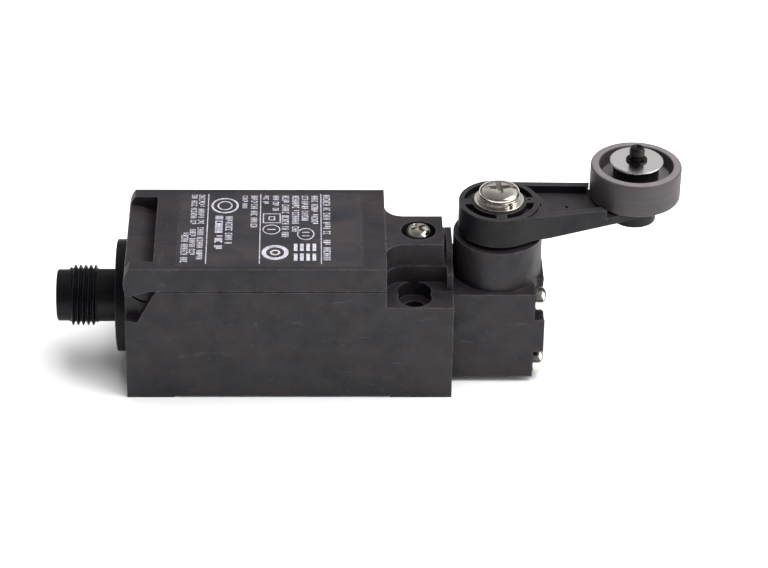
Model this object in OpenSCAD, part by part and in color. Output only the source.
// Roller-lever limit switch with a hinged cover and a round connector.
// +X runs from the connector to the head, +Z out of the mounting face, +Y to the far side.
// The origin lies on the mounting face, midway between the two fixing holes.

/* [Case] */
// Distance from the connector end of the case to the fixing holes
case_back = 56; // [55.5:0.5:57]
// Distance from the fixing holes to the head end of the case
case_front = 7.5; // [7.5:0.5:8]
// Width of the case
case_w = 30; // [30:0.5:31]
// Height of the seam between case and cover
seam_z = 24.5; // [24.5:0.1:24.8]
// Height of the ledges that the fixing screws clamp
pad_z = 20.8; // [20.5:0.1:21]
// Thickness of the case walls
wall = 2.5; // [2.2:0.1:2.7]

/* [Fixing holes] */
// Distance between the two fixing holes
fix_pitch = 20; // [20:0.1:20.4]
// Diameter of a fixing hole
fix_d = 4.3; // [4.1:0.1:4.5]

/* [Cover] */
// Height of the cover's top face
cover_top = 29.5; // [29.4:0.1:29.8]
// Radius of the rounded hinge end of the cover
hinge_r = 5.6; // [5.5:0.1:5.6]
// Width of the narrow ear that the cover screw holds
ear_w = 10.7; // [10.4:0.1:10.8]

/* [Head] */
// Length of the square head
head_len = 16.1; // [16:0.1:16.3]
// Width and height of the square head
head_w = 19.1; // [19:0.1:19.4]
// Height of the head's centre and of the plunger
axis_z = 10.8; // [10.7:0.1:10.9]
// Distance from the case to the lever shaft
shaft_off = 8.9; // [8.8:0.1:9]
// Radius of the round turret
turret_r = 8.7; // [8.6:0.1:8.9]
// Height of the turret's top face
turret_top = 29.1; // [29:0.1:29.3]

/* [Lever] */
// Distance from the shaft to the roller
lever_r = 30; // [29:0.5:32]
// Angle of the lever from the switch's long axis
lever_deg = 22.5; // [0:7.5:30]
// Radius of the lever's hub
hub_r = 7.8; // [7.5:0.1:7.8]
// Radius of the boss under the roller
boss_r = 4.5; // [4.3:0.1:4.7]

/* [Roller] */
// Diameter of the roller
roller_d = 18; // [17.5:0.1:18]
// Width of the roller
roller_w = 7; // [6.8:0.1:7]

/* [Connector] */
// Height of the connector's axis
conn_z = 14.2; // [14.1:0.1:14.3]
// Outer diameter of the connector thread
conn_d = 12; // [11.8:0.1:12]
// Diameter of the connector's flange
flange_d = 22.2; // [21.8:0.1:22.4]

/* [Hidden] */

$fn = 64;
eps = 0.01;
run_gap = 0.05;

black = [0.12, 0.12, 0.125];
dark = [0.2, 0.19, 0.2];
grey = [0.42, 0.4, 0.39];
steel = [0.75, 0.75, 0.74];
brass = [0.78, 0.62, 0.3];
rubber = [0.08, 0.08, 0.08];
cream = [0.85, 0.82, 0.74];

// Case
x_back = -case_back;
x_front = case_front;
half_w = case_w / 2;
step_x = -5.55;
rib_w = 11.2;
end_wall = 1.2;
end_wall_w = 17.8;
end_plate_w = 8.8;
end_plate_z = 27.3;
cavity_front = -8.2;
cavity_w = case_w - 2 * wall;
fix_sink_d = 6.6;
fix_sink = 3;
fillet_r = 3.6;

// Cover hinge: the axis, the swept end of the case wall and the side notches
hinge_x = x_back + 5.5;
hinge_z = seam_z + 1.5;
hinge_gap = 0.25;
notch_in = 12.6;
lug_in = 12.15;
cheek_t = 0.4;
tab_y = 13.05;
tab_t = 0.8;
slot_y = 12.9;
slot_t = 1.1;
pivot_r = 1;
tab_r = 1.9;

// Cover screw and its insert
cover_screw_x = 0.9;
cover_seat_z = 26.9;
insert_z0 = 18.5;
insert_r = 2.3;

// Head
head_x0 = x_front;
head_x1 = head_x0 + head_len;
shaft_x = x_front + shaft_off;
head_screw_off = 7.1;
head_screw_r = 1.5;
head_screw_x0 = 3.6;
end_boss = 2;
boss_cut_r = 4.2;
gasket_t = 0.6;
gasket_hw = 8.9;
shaft_r = 3;
journal_r = 2;
bush_r = 4.6;
bush_z0 = 20.4;
bush_z1 = 27.4;
chamber_r = 5.2;
chamber_z0 = 5;
chamber_z1 = 19.6;

// Plunger
plunger_r = 3;
plunger_x0 = -3;
collar_x = 9.2;
tip_x = shaft_x - 4.2;
spring_bore_r = 4.8;
spring_bore_x = 0.2;

// Lever: heights of the hub and of the boss
hub_z0 = 30;
hub_z1 = 36;
boss_z0 = 25.6;
boss_z1 = 30.3;
roller_z0 = 30.6;
roller_z1 = roller_z0 + roller_w;
bush_top = 38.1;
bolt_r = 2.5;

// Switch block
block_x0 = -37;
block_x1 = -8.8;
block_hw = 10.4;
block_z0 = wall + 0.1;
block_z1 = 15.5;
slot_hw = 5.6;
slot_x0 = -35.6;
slot_x1 = -10.2;
lid_hw = 4.4;
term_y = 8.3;
term_x = [-14, -31];
leg_x = [-20, -22.2];
face_dir = [1, -1];
pad_t = 0.8;
plate_t = 0.8;
stem_hw = 2;
bridge_x = [-14.8, -24.2];
window_x = [[-14.8, -11.2], [-27, -23.4]];
clamp_z = block_z1 + pad_t;
clamp_t = 0.7;

// Connector pins
pin_circle = 2.75;
pin_r = 0.5;
pins_end = x_back + wall + 1.6;

// A block given by its low and high corners
module block(low, high) {
    translate(low)
        cube(high - low);
}

// A cylinder along +X
module xcyl(x0, x1, r) {
    translate([x0, 0, 0])
        rotate([0, 90, 0])
            cylinder(h = x1 - x0, r = r);
}

// A cylinder along +Z at x, y
module zcyl(x, y, z0, z1, r) {
    translate([x, y, z0])
        cylinder(h = z1 - z0, r = r);
}

// A side outline in X and Z, carried across from y0 to y1
module side_slab(y0, y1) {
    translate([0, y1, 0])
        rotate([90, 0, 0])
            linear_extrude(y1 - y0)
                children();
}

// Both sides of the centre plane
module both_sides() {
    children();
    mirror([0, 1, 0])
        children();
}

// Round inner corners, on both sides, between a wall that faces +X at x and a rib of half width y
module inner_fillets(x, y, z0, z1) {
    both_sides()
        difference() {
            block([x - eps, y - eps, z0], [x + fillet_r, y + fillet_r, z1]);
            zcyl(x + fillet_r, y + fillet_r, z0 - 1, z1 + 1, fillet_r);
        }
}

// The four head screw axes, seen from the head's end
module at_head_screws() {
    for (sy = [-1, 1], sz = [-1, 1])
        translate([0, sy * head_screw_off, axis_z + sz * head_screw_off])
            children();
}

// The four terminal positions
module at_terminals() {
    for (x = term_x, s = [-1, 1])
        translate([x, s * term_y, 0])
            children();
}

// A coil of round wire along +Z
module coil(r, wire, len, turns) {
    pitch = (len - wire) / turns;
    steps = 16;
    count = turns * steps;
    ring = 6;
    points = [for (i = [0:count], k = [0:ring - 1])
        let (a = 360 * i / steps, b = 360 * k / ring,
            rr = r + wire / 2 * cos(b),
            z = wire / 2 + pitch * i / steps + wire / 2 * sin(b))
        [rr * cos(a), rr * sin(a), z]];
    polyhedron(points = points, faces = tube_faces(count, ring));
}

// Faces of a closed tube of rings, numbered 0 to last
function tube_faces(last, ring) = concat(
    [[for (k = [0:ring - 1]) k]],
    [[for (k = [ring - 1:-1:0]) last * ring + k]],
    [for (i = [0:last - 1], k = [0:ring - 1])
        let (n = (k + 1) % ring)
        [i * ring + k, (i + 1) * ring + k, (i + 1) * ring + n, i * ring + n]]);

// A pan head with a cross recess, its seat at z = 0
module pan_head(r, h) {
    difference() {
        intersection() {
            cylinder(h = h, r = r);
            translate([0, 0, h - r * 1.6])
                sphere(r = r * 1.6);
        }
        for (a = [0, 90])
            rotate(a)
                translate([-r * 0.52, -r * 0.11, h * 0.45])
                    cube([r * 1.04, r * 0.22, h]);
    }
}

// ---- Case and connector end ----

module case() {
    color(black)
        difference() {
            union() {
                block([x_back, -half_w, 0], [step_x, half_w, seam_z]);
                block([step_x - eps, -half_w, 0], [x_front, half_w, pad_z]);
                block([step_x - eps, -rib_w / 2, pad_z - eps], [x_front - end_wall, rib_w / 2, seam_z]);
                inner_fillets(step_x, rib_w / 2, pad_z - eps, seam_z);
                block([x_front - end_wall, -end_wall_w / 2, pad_z - eps],
                    [x_front, end_wall_w / 2, seam_z]);
                block([x_front - end_wall, -end_plate_w / 2, seam_z - eps],
                    [x_front, end_plate_w / 2, end_plate_z]);
                both_sides()
                    hinge_tab();
            }
            block([x_back + wall + 0.2, -cavity_w / 2, wall], [cavity_front, cavity_w / 2, seam_z + eps]);
            both_sides()
                side_notch();
            swept_end();
            translate([0, 0, conn_z])
                xcyl(x_back - eps, x_back + wall + 1, 6);
            both_sides()
                fixing_hole();
            translate([0, 0, axis_z]) {
                xcyl(cavity_front - eps, spring_bore_x + eps, plunger_r + run_gap);
                xcyl(spring_bore_x, x_front + eps, spring_bore_r);
            }
            at_head_screws()
                xcyl(head_screw_x0, x_front + eps, head_screw_r);
            zcyl(cover_screw_x, 0, insert_z0, seam_z + eps, insert_r);
            foot_relief();
            both_sides()
                shadow_line();
        }
}

// A fine groove along the side of the case, just under the cover
module shadow_line() {
    deep = 0.5;
    high = 0.18;
    block([x_back + 7, half_w - deep, seam_z - high], [step_x + 1, half_w + 1, seam_z + 1]);
}

// The case stands on two low pads, and the face between them is set back
module foot_relief() {
    set_back = 0.25;
    block([x_back + 9.3, -half_w - eps, -eps], [-4.5, half_w + eps, set_back]);
}

module fixing_hole() {
    y = fix_pitch / 2;
    slot = 1.2;
    zcyl(0, y, -eps, pad_z + eps, fix_d / 2);
    for (s = [-1, 1])
        zcyl(0, y + s * slot, pad_z - fix_sink, pad_z + 1, fix_sink_d / 2);
}

// A thin tab on the case rim that the cover's trunnion turns in
module hinge_tab() {
    base_x = hinge_x + 0.45;
    side_slab(tab_y, tab_y + tab_t)
        difference() {
            union() {
                translate([hinge_x, hinge_z])
                    circle(r = tab_r);
                translate([base_x, seam_z - 1])
                    square([1.35, hinge_z - seam_z + 1]);
            }
            translate([hinge_x, hinge_z])
                circle(r = pivot_r + run_gap);
        }
}

module side_notch() {
    low_z = seam_z - 7.1;
    side_slab(notch_in, tab_y)
        notch_outline(low_z);
    side_slab(tab_y + tab_t, half_w + 1)
        notch_outline(low_z);
    side_slab(tab_y - eps, tab_y + tab_t + eps)
        difference() {
            notch_outline(low_z);
            translate([hinge_x, hinge_z])
                circle(r = tab_r);
        }
}

module notch_outline(low_z) {
    polygon([[x_back - 1, low_z + 0.7], [x_back + 2.4, low_z], [x_back + 5.65, seam_z - 0.8],
        [x_back + 6.3, seam_z], [x_back + 6.3, seam_z + 2 * eps], [x_back - 1, seam_z + 2 * eps]]);
}

// The top of the end wall follows the path of the cover's rounded end
module swept_end() {
    side_slab(-notch_in, notch_in)
        translate([hinge_x, hinge_z])
            circle(r = hinge_r + hinge_gap);
}

module connector_shell() {
    pitch = 1;
    thread_x0 = x_back - 11.5;
    thread_x1 = x_back - 5.9;
    root = conn_d / 2 - 0.6;
    turns = 5;
    nose = x_back - 14;
    flange_x = x_back - 2.15;
    back_x = x_back - 0.2;
    nose_r = 5.1;
    neck_r = 5.2;
    crests = [for (i = [0:turns - 1], p = [[0.1, root], [0.42, conn_d / 2], [0.6, conn_d / 2], [0.92, root]])
        [thread_x0 + (i + p[0]) * pitch, p[1]]];
    outline = concat(
        [[nose, 4.1], [nose, nose_r - 0.35], [nose + 0.35, nose_r], [thread_x0 - 0.3, nose_r],
            [thread_x0, root]],
        crests,
        [[thread_x1, root], [thread_x1 + 0.2, neck_r], [flange_x, neck_r],
            [flange_x, flange_d / 2 - 0.4], [flange_x + 0.4, flange_d / 2],
            [back_x, flange_d / 2], [back_x, 9.2], [x_back, 9.2],
            [x_back, 8.4], [x_back - 0.8, 8.4], [x_back - 0.8, 6.8],
            [x_back, 6.8], [x_back, 6], [x_back + wall, 6], [x_back + wall, 4.1]]);
    color(dark)
        translate([0, 0, conn_z])
            rotate([0, 90, 0])
                rotate_extrude()
                    polygon([for (p = outline) [p[1], p[0]]]);
}

module connector_seal() {
    color(rubber)
        translate([0, 0, conn_z])
            difference() {
                xcyl(x_back - 0.8, x_back, 8.35);
                xcyl(x_back - 1, x_back + 1, 6.85);
            }
}

// The four outer pins of the connector
module at_pins() {
    translate([0, 0, conn_z])
        for (a = [45:90:315])
            rotate([a, 0, 0])
                translate([0, pin_circle, 0])
                    children();
}

module connector_insert() {
    face_x = x_back - 6;
    back_x = x_back + wall + 0.6;
    color(dark)
        difference() {
            union() {
                translate([0, 0, conn_z])
                    xcyl(face_x, back_x, 4.1);
                block([x_back - 12.8, -0.7, conn_z + 3.2], [face_x + eps, 0.7, conn_z + 3.95]);
            }
            at_pins()
                xcyl(face_x - 1, back_x + 1, pin_r);
            translate([0, 0, conn_z])
                xcyl(face_x - 1, back_x + 1, pin_r);
        }
}

module pin() {
    front_x = x_back - 12.4;
    tip = 0.3;
    xcyl(front_x + tip, pins_end, pin_r);
    translate([front_x, 0, 0])
        rotate([0, 90, 0])
            cylinder(h = tip + eps, r1 = pin_r / 2, r2 = pin_r);
}

module contact_pins() {
    color(brass) {
        at_pins()
            pin();
        translate([0, 0, conn_z])
            pin();
    }
}

// ---- Head ----

module head_housing() {
    hw = head_w / 2;
    color(black)
        difference() {
            union() {
                block([head_x0, -hw, axis_z - hw], [head_x1, hw, axis_z + hw]);
                zcyl(shaft_x, 0, axis_z, turret_top, turret_r);
                difference() {
                    block([head_x1 - eps, -hw, axis_z - hw], [head_x1 + end_boss, hw, axis_z + hw]);
                    at_head_screws()
                        xcyl(head_x1, head_x1 + end_boss + 1, boss_cut_r);
                    at_head_screws()
                        corner_cut();
                }
            }
            chamber();
            head_gasket_recess();
            at_head_screws()
                xcyl(head_x0 - 1, head_x1 + end_boss + 1, head_screw_r + 0.1);
            zcyl(shaft_x, 0, 2.2, chamber_z0 + eps, journal_r + run_gap);
            zcyl(shaft_x, 0, chamber_z1 - eps, bush_z1, bush_r);
            zcyl(shaft_x, 0, bush_z1 - eps, turret_top + 1, 5.5);
        }
}

// Clears the corner beyond each screw's round pocket
module corner_cut() {
    out = 3;
    block([head_x1, -out, -out], [head_x1 + end_boss + 1, out, out]);
}

module chamber() {
    zcyl(shaft_x, 0, chamber_z0, chamber_z1, chamber_r);
    block([head_x0 - 1, -4.9, axis_z - 4.9], [shaft_x, 4.9, axis_z + 4.9]);
}

module head_gasket_recess() {
    block([head_x0 - 1, -gasket_hw, axis_z - gasket_hw], [head_x0 + gasket_t, gasket_hw, axis_z + gasket_hw]);
}

module head_gasket() {
    hw = gasket_hw - run_gap;
    hole_hw = 5.1;
    color(rubber)
        difference() {
            block([head_x0, -hw, axis_z - hw], [head_x0 + gasket_t, hw, axis_z + hw]);
            block([head_x0 - 1, -hole_hw, axis_z - hole_hw], [head_x0 + 1, hole_hw, axis_z + hole_hw]);
            at_head_screws()
                xcyl(head_x0 - 1, head_x0 + 1, head_screw_r + 0.1);
        }
}

module head_screws() {
    color(steel)
        at_head_screws() {
            xcyl(head_screw_x0, head_x1 + eps, head_screw_r);
            translate([head_x1, 0, 0])
                rotate([0, 90, 0])
                    rotate(20)
                        pan_head(2.5, 2.5);
        }
}

module shaft_bushing() {
    color(brass)
        difference() {
            zcyl(shaft_x, 0, bush_z0, bush_z1, bush_r);
            zcyl(shaft_x, 0, bush_z0 - 1, bush_z1 + 1, shaft_r + run_gap);
        }
}

module shaft_seal() {
    color(rubber)
        difference() {
            zcyl(shaft_x, 0, bush_z1 + 0.1, turret_top - 0.1, 5.45);
            zcyl(shaft_x, 0, bush_z1, turret_top + 1, shaft_r + run_gap);
        }
}

module rotary_shaft() {
    groove_z = 19.7;
    color(steel)
        difference() {
            union() {
                zcyl(shaft_x, 0, 2.4, chamber_z0 + 0.4, journal_r);
                zcyl(shaft_x, 0, chamber_z0 + 0.3, 34, shaft_r);
            }
            difference() {
                zcyl(shaft_x, 0, groove_z, groove_z + 0.5, shaft_r + 1);
                zcyl(shaft_x, 0, groove_z - 1, groove_z + 1.5, 2.6);
            }
            zcyl(shaft_x, 0, 26, 35, 2);
            cam_key_slot();
        }
}

// Two flats on the shaft that carry the cam round
module cam_key_slot() {
    for (s = [-1, 1])
        translate([0, s * 4.4, 0])
            block([shaft_x - 4, -2, axis_z - 2.5], [shaft_x + 4, 2, axis_z + 2.5]);
}

module cam() {
    flat = 2.9;
    color(steel)
        difference() {
            zcyl(shaft_x, 0, axis_z - 2.5, axis_z + 2.5, 4);
            block([shaft_x - 5, -5, axis_z - 3], [shaft_x - flat, 5, axis_z + 3]);
            intersection() {
                zcyl(shaft_x, 0, axis_z - 3, axis_z + 3, shaft_r);
                block([shaft_x - 4, -2.4, axis_z - 3], [shaft_x + 4, 2.4, axis_z + 3]);
            }
        }
}

module shaft_clip() {
    color(steel)
        difference() {
            zcyl(shaft_x, 0, 19.7, 20.2, 4.2);
            zcyl(shaft_x, 0, 19, 21, 2.6);
            block([shaft_x, -1.6, 19], [shaft_x + 6, 1.6, 21]);
        }
}

// Torsion coil round the shaft, with one leg in a wall of the chamber
module return_spring() {
    color(steel)
        translate([shaft_x, 0, 13.8])
            coil(3.75, 0.7, 5.2, 6);
}

// ---- Lever and roller ----

module lever_frame() {
    translate([shaft_x, 0, 0])
        rotate(lever_deg)
            children();
}

// Plan outline of the arm: it narrows from the hub towards the boss
module arm_plan(inset) {
    r0 = hub_r - inset;
    r1 = boss_r + 0.4 - inset;
    a = acos((r0 - r1) / lever_r);
    polygon([[r0 * cos(a), r0 * sin(a)], [lever_r + r1 * cos(a), r1 * sin(a)],
        [lever_r, 0], [lever_r + r1 * cos(a), -r1 * sin(a)], [r0 * cos(a), -r0 * sin(a)], [0, 0]]);
}

// Side outline of the arm from the hub down to the boss
module arm_side(drop) {
    low_z = 28.3;
    step_z = 32;
    polygon([[0, hub_z0], [5, hub_z0], [7.5, hub_z0 - 0.4], [lever_r - 4, low_z], [lever_r, low_z],
        [lever_r, step_z - 0.4 - drop], [lever_r - 8, step_z - drop], [0, hub_z1 - drop]]);
}

module lever_arm() {
    color(black)
        lever_frame()
            difference() {
                union() {
                    zcyl(0, 0, hub_z0, hub_z1, hub_r);
                    zcyl(lever_r, 0, boss_z0, boss_z1, boss_r);
                    intersection() {
                        linear_extrude(50)
                            arm_plan(0);
                        side_slab(-20, 20)
                            arm_side(0);
                    }
                }
                arm_pocket();
                zcyl(lever_r, 0, boss_z1, 40, roller_d / 2 + 0.15);
                zcyl(lever_r - 0.8, -1.3, boss_z1, 40, roller_d / 2 + 0.5);
                zcyl(0, 0, hub_z0 - 1, 34.1, shaft_r);
                zcyl(0, 0, 34, hub_z1 + 1, bolt_r + 0.1);
                hub_slots();
                mould_marks();
                zcyl(lever_r, 0, boss_z0 - 1, boss_z1 + 1, journal_r);
            }
}

// Hollow in the top of the arm, between its two rims
module arm_pocket() {
    floor_drop = 1.8;
    difference() {
        intersection() {
            linear_extrude(50)
                arm_plan(1.5);
            block([0, -10, 0], [23, 10, 40]);
        }
        side_slab(-20, 20)
            arm_side(floor_drop);
        cylinder(h = 50, r = hub_r + 1.6);
        translate([0, 0, -10])
            cylinder(h = 40, r = 60);
    }
}

// Four shallow arc slots round the bolt
module hub_slots() {
    depth = 1.4;
    translate([0, 0, hub_z1 - depth])
        difference() {
            cylinder(h = depth + 1, r = 6.85);
            translate([0, 0, -1])
                cylinder(h = depth + 3, r = 5.35);
            for (a = [70:90:340])
                rotate(a)
                    block([0, -1, -1], [10, 1, depth + 2]);
        }
}

// A pin hole beside the bolt, a short slit behind the hub and a dimple along the arm
module mould_marks() {
    rotate(-18) {
        zcyl(5.9, 0, hub_z1 - 1.2, hub_z1 + 1, 0.3);
        block([8.1, -0.6, 32], [8.35, 0.8, 40]);
    }
    zcyl(14.6, -0.6, 30.8, 40, 0.45);
}

module lever_washer() {
    color(steel)
        difference() {
            zcyl(shaft_x, 0, hub_z1, hub_z1 + 0.5, 4.9);
            zcyl(shaft_x, 0, hub_z1 - 1, hub_z1 + 1, bolt_r + 0.1);
        }
}

module lever_spring_washer() {
    color(steel)
        difference() {
            zcyl(shaft_x, 0, hub_z1 + 0.5, hub_z1 + 1.1, 4.2);
            zcyl(shaft_x, 0, hub_z1, hub_z1 + 2, bolt_r + 0.1);
            translate([shaft_x, 0, 0])
                rotate(-60)
                    block([0, -0.3, hub_z1], [6, 0.3, hub_z1 + 2]);
        }
}

module lever_bolt() {
    seat = hub_z1 + 1.1;
    color(steel) {
        zcyl(shaft_x, 0, 27, seat + eps, journal_r);
        translate([shaft_x, 0, seat])
            rotate(25)
                pan_head(4, 2);
    }
}

module roller_ring(z0, z1, r_out, r_in) {
    difference() {
        zcyl(lever_r, 0, z0, z1, r_out);
        zcyl(lever_r, 0, z0 - 1, z1 + 1, r_in);
    }
}

module roller() {
    rim_r = 7.3;
    web_z0 = roller_z0 + 0.6;
    web_z1 = roller_z1 - 3;
    color(grey)
        lever_frame() {
            roller_ring(roller_z0, roller_z1, roller_d / 2, rim_r);
            roller_ring(web_z0, web_z1, rim_r + eps, 3.5);
        }
}

module roller_bush() {
    color(rubber)
        lever_frame()
            difference() {
                union() {
                    zcyl(lever_r, 0, boss_z1, roller_z1 - 2.8, 3.5 - run_gap);
                    zcyl(lever_r, 0, boss_z1, roller_z0 + 0.5, 4.3);
                    zcyl(lever_r, 0, roller_z1 - 2.9, bush_top, boss_r);
                }
                zcyl(lever_r, 0, boss_z1 - 1, bush_top + 1, journal_r);
            }
}

module roller_axle() {
    neck_z = 39.5;
    stub_z = 41.4;
    color(dark)
        lever_frame() {
            zcyl(lever_r, 0, boss_z0, bush_top, journal_r);
            zcyl(lever_r, 0, bush_top - eps, neck_z, 1.15);
            zcyl(lever_r, 0, neck_z - eps, stub_z, 1.5);
        }
}

module roller_washer() {
    color(steel)
        lever_frame()
            roller_ring(bush_top, bush_top + 0.4, 5.3, 1.2);
}

module axle_clip() {
    color(dark)
        lever_frame()
            difference() {
                roller_ring(bush_top + 0.4, bush_top + 0.75, 2.1, 1.15);
                block([lever_r, -0.8, 30], [lever_r + 4, 0.8, 50]);
            }
}

// ---- Plunger and switch block ----

module head_plunger() {
    collar_r = 3.9;
    tip_r = 2.2;
    color(cream)
        translate([0, 0, axis_z])
            rotate([0, 90, 0])
                rotate_extrude()
                    polygon([[0, plunger_x0], [plunger_r, plunger_x0], [plunger_r, collar_x],
                        [collar_r, collar_x], [collar_r, collar_x + 1], [tip_r, collar_x + 1],
                        [tip_r, tip_x - 0.8], [tip_r - 0.8, tip_x], [0, tip_x]]);
}

module plunger_spring() {
    color(steel)
        translate([spring_bore_x, 0, axis_z])
            rotate([0, 90, 0])
                coil(3.75, 0.6, collar_x - spring_bore_x, 5);
}

module block_base() {
    color(cream)
        difference() {
            block([block_x0, -block_hw, block_z0], [block_x1, block_hw, block_z1]);
            block([slot_x0, -slot_hw, block_z0 + 2], [slot_x1, slot_hw, block_z1 + 1]);
            translate([0, 0, axis_z])
                xcyl(slot_x1 - 1, block_x1 + 1, stem_hw + run_gap);
            at_terminals()
                zcyl(0, 0, block_z1 - 5.5, block_z1 + 1, 1.5);
        }
}

module block_lid() {
    color(dark)
        union() {
            block([slot_x0 + 0.1, -lid_hw, block_z1 - 1.2], [slot_x1 - 0.1, lid_hw, block_z1 + 0.1]);
            block([block_x0, -lid_hw, block_z1], [block_x1, lid_hw, block_z1 + 1]);
        }
}

module contact_carriage() {
    tip_x0 = -3.2;
    body_x1 = -10.6;
    body_x0 = -27.4;
    tail_x = -31;
    z0 = axis_z - 2.2;
    z1 = axis_z + 2.2;
    color(dark)
        difference() {
            union() {
                block([body_x0, -stem_hw, z0], [body_x1, stem_hw, z1]);
                translate([0, 0, axis_z]) {
                    xcyl(body_x1 - eps, tip_x0, stem_hw);
                    xcyl(tail_x, body_x0 + eps, stem_hw + 0.2);
                }
            }
            for (w = window_x)
                block([w[0], -3, axis_z - 1.5], [w[1], 3, axis_z + 1.5]);
            translate([0, 0, axis_z])
                xcyl(tail_x - 1, body_x0 - 0.2, 1.7);
        }
}

module contact_bridges() {
    hw = 4.6;
    button_y = 3.7;
    button = 0.38;
    color(brass)
        for (i = [0, 1]) {
            block([bridge_x[i], -hw, axis_z - 1.5], [bridge_x[i] + plate_t, hw, axis_z + 1.5]);
            for (s = [-1, 1])
                translate([0, s * button_y, axis_z])
                    if (i == 0)
                        xcyl(bridge_x[i] - button, bridge_x[i] + eps, 0.9);
                    else
                        xcyl(bridge_x[i] + plate_t - eps, bridge_x[i] + plate_t + button, 0.9);
        }
}

module contact_springs() {
    color(steel)
        translate([0, 0, axis_z]) {
            translate([bridge_x[0] + plate_t, 0, 0])
                rotate([0, 90, 0])
                    coil(1, 0.3, window_x[0][1] - bridge_x[0] - plate_t, 4);
            translate([window_x[1][0], 0, 0])
                rotate([0, 90, 0])
                    coil(1, 0.3, bridge_x[1] - window_x[1][0], 4);
        }
}

module carriage_spring() {
    color(steel)
        translate([slot_x0, 0, axis_z])
            rotate([0, 90, 0])
                coil(1.3, 0.4, 8, 6);
}

// One fixed contact: terminal pad, strip over the wall, leg and contact foot
module fixed_contact(i) {
    pad_hl = 2.4;
    lx = leg_x[i];
    leg_in = 4.7;
    x_low = min(lx, term_x[i]);
    x_high = max(lx, term_x[i]);
    foot_z1 = axis_z + 1.5;
    difference() {
        union() {
            block([term_x[i] - pad_hl, leg_in + 1.2, block_z1], [term_x[i] + pad_hl, 10.2, block_z1 + pad_t]);
            block([x_low - plate_t / 2, leg_in, block_z1],
                [x_high + plate_t / 2, leg_in + 1.6, block_z1 + pad_t]);
            block([lx - plate_t / 2, leg_in, axis_z - 1.5], [lx + plate_t / 2, leg_in + 0.8, block_z1 + eps]);
            block([lx - plate_t / 2, 2.7, axis_z - 1.5], [lx + plate_t / 2, leg_in + eps, foot_z1]);
            translate([lx + face_dir[i] * plate_t / 2, 3.7, axis_z])
                rotate([0, face_dir[i] * 90, 0])
                    cylinder(h = 0.4, r = 0.9);
        }
        zcyl(term_x[i], term_y, block_z1 - 1, block_z1 + 2, 1.5);
    }
}

module fixed_contacts() {
    color(brass)
        both_sides()
            for (i = [0, 1])
                fixed_contact(i);
}

module terminal_clamps() {
    color(steel)
        at_terminals()
            difference() {
                block([-2.2, -1.9, clamp_z], [2.2, 1.9, clamp_z + clamp_t]);
                zcyl(0, 0, clamp_z - 1, clamp_z + 2, 1.5);
            }
}

module terminal_screws() {
    color(steel)
        at_terminals() {
            zcyl(0, 0, block_z1 - 5.5, clamp_z + clamp_t + eps, 1.5);
            translate([0, 0, clamp_z + clamp_t])
                pan_head(2.2, 1.7);
        }
}

// A lead of eight flat sides along a route that never runs straight up
module lead(route) {
    r = 0.6;
    ring = 8;
    last = len(route) - 1;
    points = [for (i = [0:last], k = [0:ring - 1])
        let (d = route[min(i + 1, last)] - route[max(i - 1, 0)],
            t = d / norm(d),
            side = cross(t, [0, 0, 1]),
            u = side / norm(side),
            v = cross(u, t),
            a = 360 * k / ring)
        route[i] + r * (cos(a) * u + sin(a) * v)];
    polyhedron(points = points, faces = tube_faces(last, ring));
}

// Leads from the back of the connector to the four terminals
module lead_wires() {
    bend_x = pins_end + 1.4;
    start_y = pin_circle * cos(45);
    low_z = conn_z - pin_circle * sin(45);
    high_z = conn_z + pin_circle * sin(45);
    wire_z = clamp_z + 0.6;
    for (s = [-1, 1]) {
        color([0.55, 0.12, 0.08])
            lead([[pins_end, s * start_y, high_z], [bend_x, s * start_y, high_z], [-45, s * 4, high_z],
                [-40, s * 7.2, wire_z + 1], [term_x[1] - 3, s * 7.2, wire_z]]);
        color([0.1, 0.2, 0.5])
            lead([[pins_end, s * start_y, low_z], [bend_x, s * start_y, low_z], [-44, s * 6.5, low_z],
                [-39, s * 11.3, wire_z + 0.5], [-20, s * 11.3, wire_z + 0.5],
                [term_x[0] - 3, s * 9.3, wire_z]]);
    }
}

// ---- Cover ----

// Side outline of the cover, with the round end about the hinge axis
module cover_outline() {
    low = 210;
    top_x = x_back + 1.4;
    steps = 24;
    high = 180 - asin((cover_top - hinge_z) / hinge_r);
    arc = [for (i = [0:steps])
        let (a = low + (high - low) * i / steps)
        [hinge_x + hinge_r * cos(a), hinge_z + hinge_r * sin(a)]];
    polygon(concat(arc, [[step_x, cover_top], [step_x, seam_z], [hinge_x - 0.6, seam_z]]));
}

module cover() {
    hollow_x0 = x_back + 9.6;
    skin_z = cover_top - 2;
    hollow_hw = 12.4;
    ear_x1 = 5.7;
    ear_top = 29.2;
    color(black)
        difference() {
            union() {
                side_slab(-half_w, half_w)
                    cover_outline();
                block([step_x - 1, -ear_w / 2, seam_z], [ear_x1, ear_w / 2, ear_top]);
                inner_fillets(step_x, ear_w / 2, seam_z, ear_top);
            }
            block([hollow_x0, -hollow_hw, seam_z - 1], [-7.6, hollow_hw, skin_z]);
            block([hollow_x0 - 1.2, -13.65, seam_z - 1], [-6.6, 13.65, seam_z + 1]);
            end_hollow();
            end_pocket();
            both_sides()
                tab_slot();
            block([x_back + 10.2, -13.5, cover_top - 0.25], [x_back + 45.8, 13.5, cover_top + 1]);
            zcyl(cover_screw_x, 0, cover_seat_z, cover_top + 1, 3.4);
            zcyl(cover_screw_x, 0, seam_z - 1, cover_top + 1, 1.75);
        }
    color(black)
        both_sides() {
            side_slab(slot_y - 0.1, slot_y + slot_t + 0.1)
                translate([hinge_x, hinge_z])
                    circle(r = pivot_r);
            side_slab(lug_in + 0.05, lug_in + cheek_t)
                translate([hinge_x, hinge_z])
                    hinge_cheek();
        }
}

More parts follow.
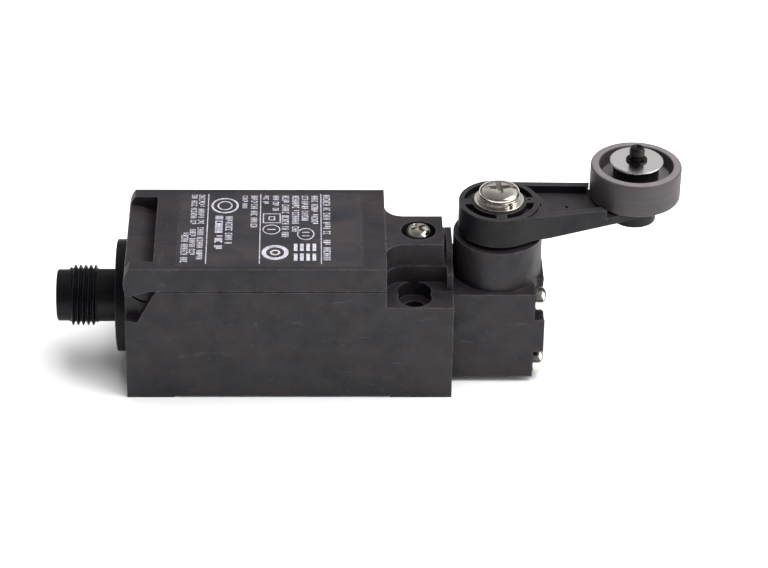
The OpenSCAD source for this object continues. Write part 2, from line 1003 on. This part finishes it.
// Part of a disc that closes the view into the case beside the rounded end
module hinge_cheek() {
    r = hinge_r - 0.1;
    reach = 2.4;
    intersection() {
        circle(r = r);
        translate([-r, -r])
            square([r + reach, r + 0.6]);
    }
}

// The rounded end is a curved skirt, hollow on the inside
module end_hollow() {
    skirt_t = 1.3;
    floor_z = 24.5;
    side_slab(-lug_in, lug_in)
        intersection() {
            translate([hinge_x, hinge_z])
                circle(r = hinge_r - skirt_t);
            translate([hinge_x - 10, seam_z - 10])
                square([20, floor_z - seam_z + 10]);
        }
    side_slab(-lug_in, lug_in)
        translate([hinge_x - 3, seam_z - 6])
            square([8, floor_z - seam_z + 6]);
}

// The finger pocket: a ramp that is deepest towards the label
module end_pocket() {
    deep_z = 25.8;
    lip_z = 27.6;
    side_slab(-lug_in, lug_in)
        polygon([[x_back - 1, lip_z], [x_back + 0.6, lip_z], [x_back + 2.4, lip_z - 0.4],
            [x_back + 4.2, deep_z + 0.5], [x_back + 5.65, deep_z], [x_back + 5.65, cover_top + 1],
            [x_back - 1, cover_top + 1]]);
}

module tab_slot() {
    low_z = seam_z - 4;
    reach = 2.35;
    side_slab(slot_y, slot_y + slot_t)
        union() {
            translate([hinge_x, hinge_z])
                circle(r = reach);
            translate([hinge_x - reach, low_z])
                square([2 * reach, hinge_z - low_z]);
        }
}

module cover_gasket() {
    color(rubber)
        difference() {
            block([x_back + 8.5, -13.6, seam_z], [-6.7, 13.6, seam_z + 0.95]);
            block([x_back + 9.7, -12.4, seam_z - 1], [-7.8, 12.4, seam_z + 2]);
        }
}

module nameplate() {
    color(dark)
        block([x_back + 10.25, -13.45, cover_top - 0.25], [x_back + 45.75, 13.45, cover_top]);
}

module cover_screw() {
    color(steel) {
        zcyl(cover_screw_x, 0, 21.4, cover_seat_z + eps, 1.5);
        translate([cover_screw_x, 0, cover_seat_z])
            rotate(15)
                pan_head(2.65, 3.2);
    }
}

module screw_insert() {
    color(brass)
        difference() {
            zcyl(cover_screw_x, 0, insert_z0, seam_z - 0.2, insert_r);
            zcyl(cover_screw_x, 0, insert_z0 - 1, seam_z + 1, 1.78);
        }
}

case();
head_housing();
head_gasket();
head_screws();
shaft_bushing();
shaft_seal();
rotary_shaft();
cam();
shaft_clip();
return_spring();
lever_arm();
lever_washer();
lever_spring_washer();
lever_bolt();
roller();
roller_bush();
roller_axle();
roller_washer();
axle_clip();
head_plunger();
plunger_spring();
block_base();
block_lid();
contact_carriage();
contact_bridges();
contact_springs();
carriage_spring();
fixed_contacts();
terminal_clamps();
terminal_screws();
lead_wires();
connector_shell();
connector_seal();
connector_insert();
contact_pins();
cover();
cover_gasket();
nameplate();
cover_screw();
screw_insert();
